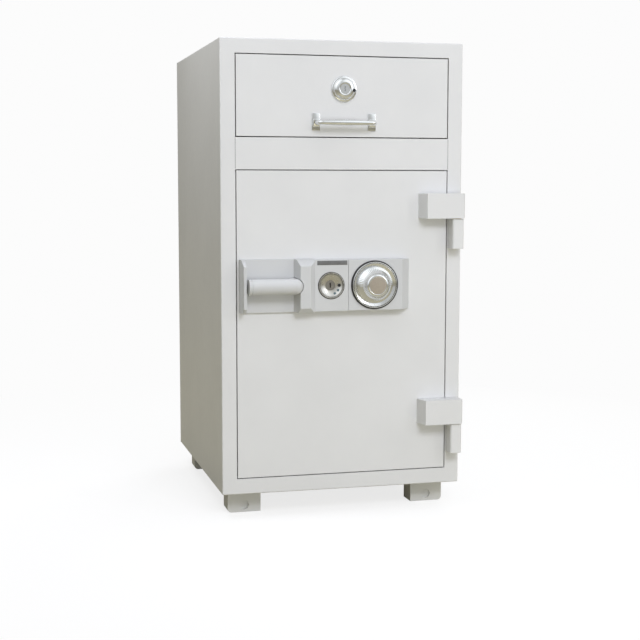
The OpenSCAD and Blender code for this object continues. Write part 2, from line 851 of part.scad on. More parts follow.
module dial_knob() {
    r = dial_d * 0.22;
    color(paint_soft) placed() turned(dial_x, lock_z) polygon([
        [0, plate_out + 12], [dial_spindle_r + seat_fit, plate_out + 12],
        [dial_spindle_r + seat_fit, plate_out + 10], [r + 2, plate_out + 10],
        [r + 1, dial_out - 2], [r - 1, dial_out], [0, dial_out]]);
}

module dial_spindle() {
    color(steel) placed() rod_y(dial_x, lock_z, -plate_out - 12, drive_y1 + 1, dial_spindle_r);
}

// The gate that is cut into the lowest point of a wheel
module gate(y0, y1) {
    rim_z = lock_z - wheel_r;
    box(dial_x - gate_half, dial_x + gate_half, y0 - 1, y1 + 1, rim_z - 1, rim_z + gate_depth);
}

module drive_cam() {
    color(brass) placed() difference() {
        rod_y(dial_x, lock_z, drive_y0, drive_y1, wheel_r - 2);
        rod_y(dial_x, lock_z, drive_y0 - 1, drive_y1 + 1, dial_spindle_r + seat_fit);
        gate(drive_y0, drive_y1);
    }
}

// A code wheel: a disc on the post with a gate at its lowest point
module code_wheel(y) {
    color(brass) placed() difference() {
        rod_y(dial_x, lock_z, y, y + wheel_t, wheel_r);
        rod_y(dial_x, lock_z, y - 1, y + wheel_t + 1, post_r + run_fit);
        gate(y, y + wheel_t);
    }
}

module code_wheel_1() {
    code_wheel(wheel_y[0]);
}

module code_wheel_2() {
    code_wheel(wheel_y[1]);
}

module code_wheel_3() {
    code_wheel(wheel_y[2]);
}

// The bolt of the combination lock: its nose enters the carrier and its fence enters the gates
module lock_bolt() {
    fence_z = lock_z - wheel_r - fence_gap;
    body_z = fence_z - fence_h - shoulder_h;
    color(brass) placed() {
        box(dial_x - nose_half, dial_x + nose_half, slide_y0, slide_y1, tail_z1 + lock_tip, body_z);
        box(dial_x - lock_half, dial_x + lock_half, slide_y0, slide_y1, body_z, fence_z);
        box(dial_x - fence_half, dial_x + fence_half, wheel_y[0], slide_y0, fence_z - fence_h, fence_z);
    }
}

// Key locks

// A plug with a key slit and an eccentric pin at its back, at the given angle from +X
module cam_plug(x, z, y0, disc_y, pin_y1, angle) {
    difference() {
        rod_y(x, z, y0, disc_y, plug_r);
        box(x - slit_half, x + slit_half, y0 - 1, y0 + slit_depth, z - slit_reach, z + slit_reach);
    }
    rod_y(x, z, disc_y, disc_y + plug_disc_t, plug_disc_r);
    rod_y(x + cam_r * cos(angle), z + cam_r * sin(angle), disc_y + plug_disc_t, pin_y1, key_pin_r);
}

// The slot in which the eccentric pin drives a bolt
module cam_slot(x, z, y0, y1, angle) {
    side = cos(angle) > 0 ? 1 : -1;
    reach = cam_r + key_pin_r + slide_fit;
    near = cam_r * cos(45) - key_pin_r - slide_fit;
    pin_z = z + cam_r * sin(angle);
    box(min(x + side * near, x + side * reach), max(x + side * near, x + side * reach), y0 - 1, y1 + 1,
        pin_z - key_pin_r - slide_fit, pin_z + key_pin_r + slide_fit);
}

module key_plug() {
    color(bright) placed()
        cam_plug(key_x, lock_z, plug_inset - plate_out, case_y0 + case_t, slide_y0 - 1, 45);
}

// The bolt of the door's key lock slides down into the carrier
module key_bolt() {
    y0 = slide_y0 - key_bolt_t;
    body_z = lock_z - case_half - 1;
    color(brass) placed() difference() {
        union() {
            box(key_x - lock_half, key_x + lock_half, y0, slide_y0, body_z,
                lock_z + cam_r + bolt_over_pin);
            box(key_x - nose_half, key_x + nose_half, y0, slide_y1, tail_z1 + lock_tip, body_z);
        }
        cam_slot(key_x, lock_z, y0, slide_y0, 45);
    }
}

// Drawer

module drawer_bolt_slot(z0, z1) {
    box(-lock_half - slide_fit, lock_half + slide_fit,
        drawer_bolt_y0 - slide_fit, drawer_bolt_y1 + slide_fit, z0, z1);
}

module drawer_front() {
    color(paint) placed() difference() {
        span(drawer_half, 0, drawer_front_d, drawer_z0 + front_gap, drawer_z1 - front_gap);
        span(drawer_half - sheet_t, sheet_t, drawer_front_d + 1, drawer_z0 + front_gap + sheet_t,
            drawer_z1 - front_gap - sheet_t);
        rod_y(0, drawer_lock_z, -1, sheet_t + 1, plug_r + drawer_plug_seat + seat_fit);
        drawer_bolt_slot(drawer_z1 - drawer_slot_h, drawer_z1);
    }
}

module drawer_tray() {
    y0 = drawer_front_d;
    color(paint_soft) placed() difference() {
        union() {
            span(drawer_half - 1, y0, y0 + tray_t, drawer_z0 + front_gap + 1, drawer_z1 - front_gap - 1);
            both_sides() box(tray_half - tray_t, tray_half, y0, tray_back,
                tray_z - tray_edge, tray_z + tray_side_h);
            both_sides() box(tray_half - tray_t, tray_half, pivot_y - pivot_half, pivot_y + pivot_half,
                pivot_z - pivot_wall, tray_z);
            span(tray_half, tray_back - tray_t, tray_back, tray_z - tray_edge, tray_z + tray_side_h);
            span(tray_half, y0, pivot_y - pivot_r - 1, tray_z - tray_edge, tray_z);
        }
        rod_x(-tray_half - 1, tray_half + 1, pivot_y, pivot_z, pivot_pin_r + run_fit);
    }
}

module drawer_pull() {
    z = drawer_z0 + pull_rise;
    x = pull_w / 2;
    color(bright) placed() {
        both_sides() {
            box(x - pull_foot_half, x + pull_foot_half, -pull_foot_t, 0,
                z - pull_foot_down, z + pull_foot_up);
            rod_y(x, z, -pull_out, -pull_foot_t, pull_bar_r);
            translate([x, -pull_out, z]) sphere(r = pull_bar_r);
        }
        rod_x(-x, x, -pull_out, z, pull_bar_r);
    }
}

module drawer_lock_ring() {
    r = drawer_ring_d / 2;
    bore = plug_r + run_fit;
    color(bright) placed() turned(0, drawer_lock_z) polygon([
        [bore, -sheet_t], [plug_r + drawer_plug_seat, -sheet_t], [plug_r + drawer_plug_seat, 0],
        [r, 0], [r, 3], [r - 3, 7], [r - 8, 10], [bore + 4, 11], [bore, 10]]);
}

module drawer_lock_case() {
    color(steel) placed() difference() {
        lock_box(0, drawer_lock_z, case_half, sheet_t, drawer_front_d,
            lock_half + slide_fit, drawer_bolt_y0 - slide_fit, drawer_bolt_y1 + slide_fit, 1);
        rod_y(0, drawer_lock_z, sheet_t - 1, sheet_t + case_t + 1, plug_r + run_fit);
    }
}

module drawer_key_plug() {
    color(bright) placed()
        cam_plug(0, drawer_lock_z, -drawer_plug_out, sheet_t + case_t, drawer_bolt_y1 + slide_fit, 225);
}

module drawer_bolt() {
    color(brass) placed() difference() {
        box(-lock_half, lock_half, drawer_bolt_y0, drawer_bolt_y1,
            drawer_lock_z - cam_r - bolt_over_pin, drawer_z1 - front_gap - 1);
        cam_slot(0, drawer_lock_z, drawer_bolt_y0, drawer_bolt_y1, 225);
    }
}

// One member of a drawer runner: a channel that opens towards the tray
module runner(x_web, x_lip, half_h, z, y0) {
    box(x_web - runner_t, x_web, y0, y0 + runner_len, z - half_h, z + half_h);
    for (side = [-1, 1])
        box(x_lip, x_web, y0, y0 + runner_len,
            z + (side > 0 ? half_h - runner_t : -half_h), z + (side > 0 ? half_h : runner_t - half_h));
}

module slide_outer() {
    color(steel) placed() both_sides()
        runner(open_half, tray_half + runner_lip, runner_h / 2, runner_z, runner_y0);
}

module slide_middle() {
    color(steel) placed() both_sides()
        runner(open_half - runner_t - runner_air, tray_half + runner_lip,
            runner_h / 2 - runner_t - runner_gap, runner_z, runner_y0);
}

module slide_inner() {
    color(steel) placed() both_sides()
        runner(open_half - 2 * (runner_t + runner_air), tray_half,
            runner_h / 2 - 2 * (runner_t + runner_gap), runner_z, runner_y0);
}

// Slotted plates on the well walls that lift the drop floor as the drawer comes out
module cam_tracks() {
    slot = roller_r + track_gap;
    rim = slot + track_rim;
    color(steel) placed() both_sides() {
        translate([track_x, 0, 0]) rotate([90, 0, 90]) linear_extrude(track_t) difference() {
            union() {
                polygon(track_band(rim));
                translate(track_point(0)) circle(r = rim);
                translate(track_point(track_steps)) circle(r = rim);
            }
            polygon(track_band(slot));
            translate(track_point(0)) circle(r = slot);
            translate(track_point(track_steps)) circle(r = slot);
        }
        for (i = [1, track_steps / 2, track_steps - 1])
            for (side = [-1, 1]) {
                p = track_point(i) + side * (slot + track_rim / 2) * track_normal(i);
                rod_x(track_x + track_t, open_half, p[0], p[1], track_rim / 2);
            }
    }
}

// The hinged rear part of the tray floor, hanging at its drop angle
module flap_frame() {
    placed() translate([0, pivot_y, pivot_z]) rotate([-flap_drop, 0, 0]) children();
}

module drop_floor() {
    color(paint_soft) flap_frame() {
        span(flap_half, 0, flap_len + roller_r, 0, flap_t);
        rod_x(-flap_half, flap_half, 0, 0, pivot_r);
        rod_x(-tray_half - 1, tray_half + 1, 0, 0, pivot_pin_r);
        rod_x(-track_x - track_t - 1, track_x + track_t + 1, flap_len, -axle_drop, axle_r);
        for (x = [axle_lug_in - flap_half, 0, flap_half - axle_lug_in])
            box(x - axle_lug_w / 2, x + axle_lug_w / 2,
                flap_len - axle_lug_d / 2, flap_len + axle_lug_d / 2, -axle_drop, 0);
    }
}

module floor_rollers() {
    color(black) flap_frame() both_sides() difference() {
        rod_x(track_x - 0.5, track_x + track_t + 0.5, flap_len, -axle_drop, roller_r);
        rod_x(track_x - 1, track_x + track_t + 1, flap_len, -axle_drop, axle_r + seat_fit);
    }
}

outer_shell();
back_panel();
front_frame();
crossbar();
door_jamb();
fire_lining();
safe_liner();
drawer_well();
drop_chute();
feet();
foot_bolts();
hinge_leaves();
hinge_pins();
hinge_washers();
strike_bar();
slide_outer();
cam_tracks();
door_pan();
door_fill();
inner_door();
door_back_cover();
cover_screws();
fire_seal();
dead_bar();
hinge_arms();
handle_housing();
handle_bush();
lock_plate();
dial_plate();
dial_surround();
key_cup();
key_case();
lock_case();
bolt_guides();
lever_handle();
handle_spindle();
main_bolts();
bolt_carrier();
dial_knob();
dial_ring();
dial_spindle();
drive_cam();
code_wheel_1();
code_wheel_2();
code_wheel_3();
lock_bolt();
key_plug();
key_bolt();
drawer_front();
drawer_tray();
drawer_pull();
drawer_lock_ring();
drawer_lock_case();
slide_inner();
drawer_key_plug();
drawer_bolt();
slide_middle();
drop_floor();
floor_rollers();
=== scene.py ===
import json
import math

import bmesh
import bpy
from mathutils import Matrix, Vector


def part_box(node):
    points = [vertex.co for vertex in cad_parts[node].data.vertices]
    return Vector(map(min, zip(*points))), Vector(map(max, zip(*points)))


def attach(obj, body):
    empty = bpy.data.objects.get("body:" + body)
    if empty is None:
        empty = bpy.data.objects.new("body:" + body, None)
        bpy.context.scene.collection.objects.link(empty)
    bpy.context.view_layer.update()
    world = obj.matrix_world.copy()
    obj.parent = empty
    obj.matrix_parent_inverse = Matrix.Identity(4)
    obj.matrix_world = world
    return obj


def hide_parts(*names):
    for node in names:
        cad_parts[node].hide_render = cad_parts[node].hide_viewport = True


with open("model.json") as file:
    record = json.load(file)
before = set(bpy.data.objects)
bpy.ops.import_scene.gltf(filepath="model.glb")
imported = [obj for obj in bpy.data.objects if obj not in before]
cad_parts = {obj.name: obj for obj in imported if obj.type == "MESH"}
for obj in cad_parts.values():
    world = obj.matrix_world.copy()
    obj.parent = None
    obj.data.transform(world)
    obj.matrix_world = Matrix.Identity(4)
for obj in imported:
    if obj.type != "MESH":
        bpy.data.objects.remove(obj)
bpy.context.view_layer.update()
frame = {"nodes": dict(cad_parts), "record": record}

# Units and places

MM = 0.001
TURN = 2 * math.pi
SHARP_DEG = 35  # an edge that turns by more than this keeps its crease


def middle(node):
    """The middle of a node's box."""
    low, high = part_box(node)
    return (low + high) / 2


FACE_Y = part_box("door_pan")[0].y  # the front face of the door and the drawer
PLATE_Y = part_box("dial_plate")[0].y  # the front face of the two lock plates
PLATE_OUT = (FACE_Y - PLATE_Y) / MM  # how far the plates stand before the face, in mm
SHEET = 2 * MM  # thickness of the body's sheet
GAP = 2 * MM  # gap round the door and the drawer front
PAST = 10 * MM  # how far a cutter reaches past what it cuts
DIAL = middle("dial_surround")
KEY = middle("key_cup")
DRAWER_LOCK = middle("drawer_lock_ring")
PULL = middle("drawer_pull")


# Mesh helpers

def add_object(name, mesh, body, material, replaces=()):
    """Puts a mesh into the scene as a piece of the object."""
    piece = bpy.data.objects.new(name, mesh)
    bpy.context.scene.collection.objects.link(piece)
    if material is not None:
        mesh.materials.append(material)
    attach(piece, body)
    if replaces:
        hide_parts(*replaces)
    return piece


def to_mesh(name, form, sharp_deg=SHARP_DEG):
    """Closes a bmesh into a mesh with soft shading up to an angle."""
    bmesh.ops.recalc_face_normals(form, faces=form.faces)
    mesh = bpy.data.meshes.new(name)
    form.to_mesh(mesh)
    form.free()
    shade(mesh, sharp_deg)
    return mesh


def shade(mesh, sharp_deg=SHARP_DEG):
    """Shades a mesh softly, apart from its sharp edges."""
    for polygon in mesh.polygons:
        polygon.use_smooth = True
    mesh.set_sharp_from_angle(angle=math.radians(sharp_deg))


def add_form(name, form, body, material, replaces=(), sharp_deg=SHARP_DEG):
    """Puts a bmesh into the scene as a piece of the object."""
    return add_object(name, to_mesh(name, form, sharp_deg), body, material, replaces)


def fillet(points, radius):
    """Rounds the inner corners of an open profile."""
    steps = 4
    most = 0.45  # of an edge's length that a corner may take
    rounded = [points[0]]
    for before, corner, after in zip(points, points[1:], points[2:]):
        here = Vector(corner)
        back = Vector(before) - here
        ahead = Vector(after) - here
        reach = min(radius, back.length * most, ahead.length * most)
        start = here + back.normalized() * reach
        end = here + ahead.normalized() * reach
        for step in range(steps + 1):
            t = step / steps
            bend = start * (1 - t) ** 2 + here * 2 * t * (1 - t) + end * t ** 2
            rounded.append(tuple(bend))
    rounded.append(points[-1])
    return rounded


def raised(profile):
    """A profile given from the lock plates, moved to heights above the face."""
    return [(radius, PLATE_OUT + height) for radius, height in profile]


def lathe_form(profile, centre, steps=144, wave=None):
    """Turns a profile of (radius, height above the face) in mm about a line along Y."""
    form = bmesh.new()
    rings = []
    for radius, out in profile:
        y = FACE_Y - out * MM
        if radius < 1e-6:
            rings.append([form.verts.new((centre.x, y, centre.z))])
            continue
        ring = []
        for step in range(steps):
            angle = TURN * step / steps
            r = radius + (wave(out, step) if wave else 0)
            ring.append(form.verts.new((
                centre.x + r * MM * math.cos(angle), y, centre.z + r * MM * math.sin(angle))))
        rings.append(ring)
    closed = len(rings[0]) > 1 and len(rings[-1]) > 1
    pairs = list(zip(rings, rings[1:])) + ([(rings[-1], rings[0])] if closed else [])
    for a, b in pairs:
        for step in range(steps):
            following = (step + 1) % steps
            corners = [a[step % len(a)], a[following % len(a)],
                       b[following % len(b)], b[step % len(b)]]
            unique = [v for i, v in enumerate(corners) if v not in corners[:i]]
            if len(unique) > 2:
                form.faces.new(unique)
    return form


def stud_form(centre, radius, angle_deg, size, low, high):
    """A small round stud that stands out at a place on a circle about a lock, in mm."""
    angle = math.radians(angle_deg)
    at = centre + Vector((math.cos(angle), 0, math.sin(angle))) * radius * MM
    return lathe_form(fillet([(0, low), (size, low), (size, high), (0, high)], 0.3), at, 32)


def box_form(low, high, radius=0.0, steps=3):
    """A box with rounded edges."""
    form = bmesh.new()
    bmesh.ops.create_cube(form, size=1)
    size = Vector(high) - Vector(low)
    centre = (Vector(high) + Vector(low)) / 2
    for vert in form.verts:
        vert.co = centre + Vector(vert.co[i] * size[i] for i in range(3))
    if radius:
        bmesh.ops.bevel(form, geom=form.edges[:], offset=radius, segments=steps, profile=0.5,
                        affect="EDGES")
    return form


def tube_form(points, radii, sides):
    """A solid bar along a path in the plane of X and Y, with its own radius at each point."""
    form = bmesh.new()
    rings = []
    for i, (point, radius) in enumerate(zip(points, radii)):
        before = Vector(points[max(i - 1, 0)])
        after = Vector(points[min(i + 1, len(points) - 1)])
        along = (after - before).normalized()
        up = Vector((0, 0, 1))
        side = along.cross(up).normalized()
        ring = []
        for step in range(sides):
            angle = TURN * step / sides
            offset = side * math.cos(angle) + up * math.sin(angle)
            ring.append(form.verts.new(Vector(point) + offset * radius))
        rings.append(ring)
    join_rings(form, zip(rings, rings[1:]), sides)
    form.faces.new(rings[0])
    form.faces.new(rings[-1])
    return form


def join_rings(form, pairs, sides):
    """Lays a band of faces between the two rings of each pair."""
    for a, b in pairs:
        for step in range(sides):
            following = (step + 1) % sides
            form.faces.new((a[step], a[following], b[following], b[step]))


def join_forms(forms):
    """Puts several bmeshes into one."""
    whole = bmesh.new()
    for form in forms:
        part = bpy.data.meshes.new("part")
        form.to_mesh(part)
        form.free()
        whole.from_mesh(part)
        bpy.data.meshes.remove(part)
    return whole


def cut(piece, forms):
    """Cuts closed forms out of a piece for good."""
    for form in forms:
        tool = bpy.data.objects.new("cutter", to_mesh("cutter", form))
        bpy.context.scene.collection.objects.link(tool)
        modifier = piece.modifiers.new("cut", "BOOLEAN")
        modifier.operation = "DIFFERENCE"
        modifier.solver = "EXACT"
        modifier.object = tool
        graph = bpy.context.evaluated_depsgraph_get()
        result = bpy.data.meshes.new_from_object(piece.evaluated_get(graph))
        piece.modifiers.clear()
        old = piece.data
        piece.data = result
        result.name = old.name
        bpy.data.meshes.remove(old)
        bpy.data.objects.remove(tool)
    shade(piece.data)


def soften(piece, width):
    """Rounds a piece's edges and evens its shading, without touching its own mesh."""
    weld = piece.modifiers.new("weld", "WELD")
    weld.merge_threshold = 1e-6
    flat = piece.modifiers.new("flat", "DECIMATE")
    flat.decimate_type = "DISSOLVE"
    flat.angle_limit = math.radians(0.5)
    bevel = piece.modifiers.new("bevel", "BEVEL")
    bevel.width = width
    bevel.segments = 3
    bevel.limit_method = "ANGLE"
    bevel.angle_limit = math.radians(40)
    bevel.use_clamp_overlap = True
    bevel.harden_normals = False
    normals = piece.modifiers.new("normals", "WEIGHTED_NORMAL")
    normals.keep_sharp = False


# Material nodes

def new_material(name, colour, roughness, metallic=0.0):
    """A material whose shader is ready for its own nodes."""
    material = bpy.data.materials.new(name)
    material.use_nodes = True
    tree = material.node_tree
    shader = tree.nodes["Principled BSDF"]
    shader.inputs["Base Color"].default_value = (*colour, 1)
    shader.inputs["Roughness"].default_value = roughness
    shader.inputs["Metallic"].default_value = metallic
    return material, tree, shader


def noise(tree, scale, detail=2.0, stretch=(1, 1, 1), rough=0.5):
    """Noise in object space, drawn out along an axis by stretch."""
    place = tree.nodes.new("ShaderNodeTexCoord")
    mapping = tree.nodes.new("ShaderNodeMapping")
    mapping.inputs["Scale"].default_value = stretch
    texture = tree.nodes.new("ShaderNodeTexNoise")
    texture.inputs["Scale"].default_value = scale
    texture.inputs["Detail"].default_value = detail
    texture.inputs["Roughness"].default_value = rough
    tree.links.new(place.outputs["Object"], mapping.inputs["Vector"])
    tree.links.new(mapping.outputs["Vector"], texture.inputs["Vector"])
    return texture.outputs["Fac"]


def spread(tree, value, low, high, start=0.3, end=0.7):
    """Maps a value between start and end to a range."""
    node = tree.nodes.new("ShaderNodeMapRange")
    node.inputs["From Min"].default_value = start
    node.inputs["From Max"].default_value = end
    node.inputs["To Min"].default_value = low
    node.inputs["To Max"].default_value = high
    tree.links.new(value, node.inputs["Value"])
    return node.outputs["Result"]


def vector_math(tree, operation, vector, other=None):
    """A vector operation with a fixed second vector, where it takes one."""
    node = tree.nodes.new("ShaderNodeVectorMath")
    node.operation = operation
    tree.links.new(vector, node.inputs[0])
    if other is not None:
        node.inputs[1].default_value = other
    return node


def larger_of(tree, first, second):
    """The larger of two values."""
    node = tree.nodes.new("ShaderNodeMath")
    node.operation = "MAXIMUM"
    tree.links.new(first, node.inputs[0])
    tree.links.new(second, node.inputs[1])
    return node.outputs["Value"]


def tint(tree, shader, value, dark, light):
    """Colours a surface between two tones by a noise value."""
    mix = tree.nodes.new("ShaderNodeMix")
    mix.data_type = "RGBA"
    mix.inputs["A"].default_value = (*dark, 1)
    mix.inputs["B"].default_value = (*light, 1)
    tree.links.new(value, mix.inputs["Factor"])
    tree.links.new(mix.outputs["Result"], shader.inputs["Base Color"])


def bump(tree, shader, value, height):
    """Raises a surface by a noise value, height in metres."""
    node = tree.nodes.new("ShaderNodeBump")
    node.inputs["Strength"].default_value = 1.0
    node.inputs["Distance"].default_value = height
    tree.links.new(value, node.inputs["Height"])
    tree.links.new(node.outputs["Normal"], shader.inputs["Normal"])


def shades(colour, span):
    """A darker and a lighter tone of a colour."""
    return [c * (1 - span) for c in colour], [min(1.0, c * (1 + span)) for c in colour]


# Finishes

def paint(name, colour, roughness=0.36, span=0.02):
    """Sprayed and baked paint: cloudy tone, a faint orange peel and uneven gloss."""
    material, tree, shader = new_material(name, colour, roughness)
    dark, light = shades(colour, span)
    tint(tree, shader, spread(tree, noise(tree, scale=9, detail=4), 0, 1), dark, light)
    gloss = spread(tree, noise(tree, scale=60, detail=3), roughness - 0.04, roughness + 0.05)
    tree.links.new(gloss, shader.inputs["Roughness"])
    bump(tree, shader, noise(tree, scale=420, detail=3), height=0.00004)
    shader.inputs["IOR"].default_value = 1.45
    return material


def metal(name, colour, roughness, span=0.05, scratch=(1, 1, 1), grain=500, height=0.000004):
    """Metal with fine marks drawn out along an axis and a smeared gloss."""
    material, tree, shader = new_material(name, colour, roughness, metallic=1.0)
    dark, light = shades(colour, span)
    tint(tree, shader, spread(tree, noise(tree, scale=40, detail=4), 0, 1), dark, light)
    smear = noise(tree, grain, detail=4, stretch=scratch)
    gloss = spread(tree, smear, roughness * 0.75, roughness * 1.35)
    tree.links.new(gloss, shader.inputs["Roughness"])
    bump(tree, shader, noise(tree, grain, detail=3, stretch=scratch), height)
    return material


def turned_metal(name, colour, roughness, centre, height=0.000004, painted_shade_core=None):
    """Metal turned on a lathe, with fine rings about a line along Y.

    Where a core is given, its colour fills the middle as painted shade and fades out between its
    two radii.
    """
    material, tree, shader = new_material(name, colour, roughness, metallic=1.0)
    place = tree.nodes.new("ShaderNodeTexCoord")
    offset = vector_math(tree, "SUBTRACT", place.outputs["Object"], (centre.x, 0, centre.z))
    flat = vector_math(tree, "MULTIPLY", offset.outputs["Vector"], (1, 0, 1))
    radius = vector_math(tree, "LENGTH", flat.outputs["Vector"]).outputs["Value"]
    texture = tree.nodes.new("ShaderNodeTexNoise")
    texture.noise_dimensions = "1D"
    texture.inputs["Scale"].default_value = 1400
    texture.inputs["Detail"].default_value = 3
    tree.links.new(radius, texture.inputs["W"])
    dark, light = shades(colour, 0.04)
    tint(tree, shader, spread(tree, texture.outputs["Fac"], 0, 1), dark, light)
    if painted_shade_core is not None:
        inside, outside, painted_shade_colour = painted_shade_core
        mix = tree.nodes.new("ShaderNodeMix")
        mix.data_type = "RGBA"
        mix.inputs["A"].default_value = (*painted_shade_colour, 1)
        tree.links.new(shader.inputs["Base Color"].links[0].from_socket, mix.inputs["B"])
        tree.links.new(spread(tree, radius, 0, 1, inside, outside), mix.inputs["Factor"])
        tree.links.new(mix.outputs["Result"], shader.inputs["Base Color"])
    gloss = spread(tree, noise(tree, scale=180, detail=3), roughness * 0.8, roughness * 1.3)
    tree.links.new(gloss, shader.inputs["Roughness"])
    bump(tree, shader, texture.outputs["Fac"], height)
    return material


def moulded(name, colour, roughness, grain=700):
    """Matte plastic or rubber with a fine moulded grain."""
    material, tree, shader = new_material(name, colour, roughness)
    dark, light = shades(colour, 0.15)
    tint(tree, shader, spread(tree, noise(tree, scale=80, detail=4), 0, 1), dark, light)
    bump(tree, shader, noise(tree, grain, detail=4), height=0.00003)
    return material


def cast(name, colour):
    """Cast mineral filling: pores, grains and a floated skin."""
    material, tree, shader = new_material(name, colour, 0.9)
    dark, light = shades(colour, 0.12)
    tint(tree, shader, spread(tree, noise(tree, scale=35, detail=8, rough=0.65), 0, 1), dark, light)
    bump(tree, shader, noise(tree, scale=260, detail=6, rough=0.7), height=0.0004)
    return material


BODY_PAINT = paint("body_paint", (0.715, 0.718, 0.715))
PLATE_PAINT = paint("plate_paint", (0.59, 0.597, 0.597), roughness=0.42)
LINER_PAINT = paint("liner_paint", (0.56, 0.565, 0.56), roughness=0.5)
FOOT_PAINT = paint("foot_paint", (0.67, 0.67, 0.645), roughness=0.5, span=0.04)
ZINC = metal("zinc_steel", (0.62, 0.63, 0.65), 0.34, span=0.14, grain=260)
BRIGHT = metal("bright_steel", (0.72, 0.73, 0.74), 0.2, scratch=(0.05, 1, 1), grain=900)
BRASS = turned_metal("brass", (0.72, 0.55, 0.26), 0.3, DIAL)
CHROME = metal("chrome", (0.80, 0.81, 0.82), 0.09, span=0.02, grain=300, height=0.000002)
SATIN = turned_metal("dial_satin", (0.58, 0.52, 0.465), 0.46, DIAL)
DIAL_CHROME = turned_metal("dial_chrome", (0.80, 0.81, 0.82), 0.14, DIAL, height=0.0000015)
# The key dish's darker middle is painted shade, standing in for the shadow round the keyhole.
KEY_CHROME = turned_metal("key_chrome", (0.66, 0.65, 0.63), 0.3, KEY, height=0.0000008,
                          painted_shade_core=(10.5 * MM, 17.5 * MM, (0.56, 0.54, 0.505)))
# The plug metal is darkened as painted shade, so that the keyhole reads dark.
PLUG_SHADE_METAL = turned_metal("plug_shade_metal", (0.33, 0.315, 0.30), 0.5, KEY)
LOCK_CHROME = turned_metal("lock_chrome", (0.80, 0.81, 0.82), 0.13, DRAWER_LOCK)
RUBBER = moulded("seal_rubber", (0.03, 0.03, 0.03), 0.8)
BLACK = moulded("black_plastic", (0.02, 0.02, 0.02), 0.45)
INK = moulded("engraving_ink", (0.015, 0.015, 0.018), 0.5)
MARKS = moulded("engraved_marks", (0.16, 0.16, 0.17), 0.5)
TEAL = moulded("mark_enamel", (0.10, 0.15, 0.17), 0.4, grain=300)
# Near-black brown for the ring round the key dish: painted shade along the dish's rim.
RIM_SHADE = moulded("rim_shade_plastic", (0.028, 0.024, 0.018), 0.35, grain=300)
SEAM = moulded("seam_filler", (0.14, 0.14, 0.14), 0.6)
STRIP = moulded("strip_plate", (0.155, 0.155, 0.155), 0.35, grain=300)
FILLING = cast("fire_filling", (0.58, 0.55, 0.48))

SLOT_MATERIALS = {
    "body_paint": BODY_PAINT,
    "plate_paint": PLATE_PAINT,
    "liner_paint": LINER_PAINT,
    "foot_paint": FOOT_PAINT,
    "fire_filling": FILLING,
    "zinc_steel": ZINC,
    "bright_steel": BRIGHT,
    "chrome": CHROME,
    "dial_satin": SATIN,
    "brass": BRASS,
    "seal_rubber": RUBBER,
    "black_plastic": BLACK,
}
NODE_MATERIALS = {"key_plug": PLUG_SHADE_METAL, "drawer_key_plug": LOCK_CHROME}


# The solids of the frame

SOFT_EDGES = {
    "door_pan": 1.6, "drawer_front": 1.6, "back_panel": 0.6, "hinge_arms": 1.6, "hinge_leaves": 0.8,
    "handle_housing": 1.3, "lock_plate": 1.2, "dial_plate": 1.2, "feet": 1.0,
    "inner_door": 1.2, "door_back_cover": 0.6, "door_jamb": 0.6, "strike_bar": 0.6, "dead_bar": 0.8,
    "main_bolts": 1.2, "drawer_tray": 0.4, "drop_floor": 0.5, "key_case": 0.5, "lock_case": 0.5,
}


def dress_nodes():
    """Gives each solid of the frame the finish of its slot."""
    for part in frame["record"]["subparts"]:
        node = frame["nodes"][part["node"]]
        material = NODE_MATERIALS.get(part["node"], SLOT_MATERIALS[part["material_slot"]])
        node.data.materials.clear()
        node.data.materials.append(material)


def soften_nodes():
    """Rounds the edges of the solids that show, each by its own width in mm."""
    for node, width in SOFT_EDGES.items():
        soften(frame["nodes"][node], width * MM)


# The cabinet

def cabinet_skin():
    """The welded sheet body: one shell with rounded edges and two openings in its front."""
    low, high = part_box("outer_shell")
    front, frame_back = (corner.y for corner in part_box("front_frame"))
    skin = add_form("cabinet_skin", box_form((low.x, front, low.z), high, 2.4 * MM, 4),
                    "cabinet", BODY_PAINT,
                    ("outer_shell", "front_frame", "crossbar"))
    cutters = [box_form((low.x + SHEET, frame_back, low.z + SHEET),
                        (high.x - SHEET, high.y + PAST, high.z - SHEET))]
    for node in ("door_pan", "drawer_front"):
        a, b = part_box(node)
        cutters.append(box_form((a.x - GAP, front - PAST, a.z - GAP),
                                (b.x + GAP, frame_back + PAST, b.z + GAP)))
    cut(skin, cutters)
    soften(skin, 1.2 * MM)
    band_seams(front)


def band_seams(front):
    """The two filled seams where the crossbar meets the frame's sides."""
    door_low, door_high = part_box("door_pan")
    half = 0.4 * MM
    proud = 0.04 * MM
    short = GAP + 1.3 * MM  # the seams stop this far from the door and the drawer front
    bottom, top = door_high.z + short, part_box("drawer_front")[0].z - short
    seams = [box_form((x - half, front - proud, bottom), (x + half, front + half, top))
             for x in (door_low.x - GAP, door_high.x + GAP)]
    add_form("band_seams", join_forms(seams), "cabinet", SEAM)


# The dial: profiles give a radius and a height above the plate, in mm

HOLE_R = 4.1  # the hole that the dial's spindle goes through
BAND_IN, BAND_OUT = (37.4, 3.2), (42.8, 5.2)  # the sloping band that carries the figures
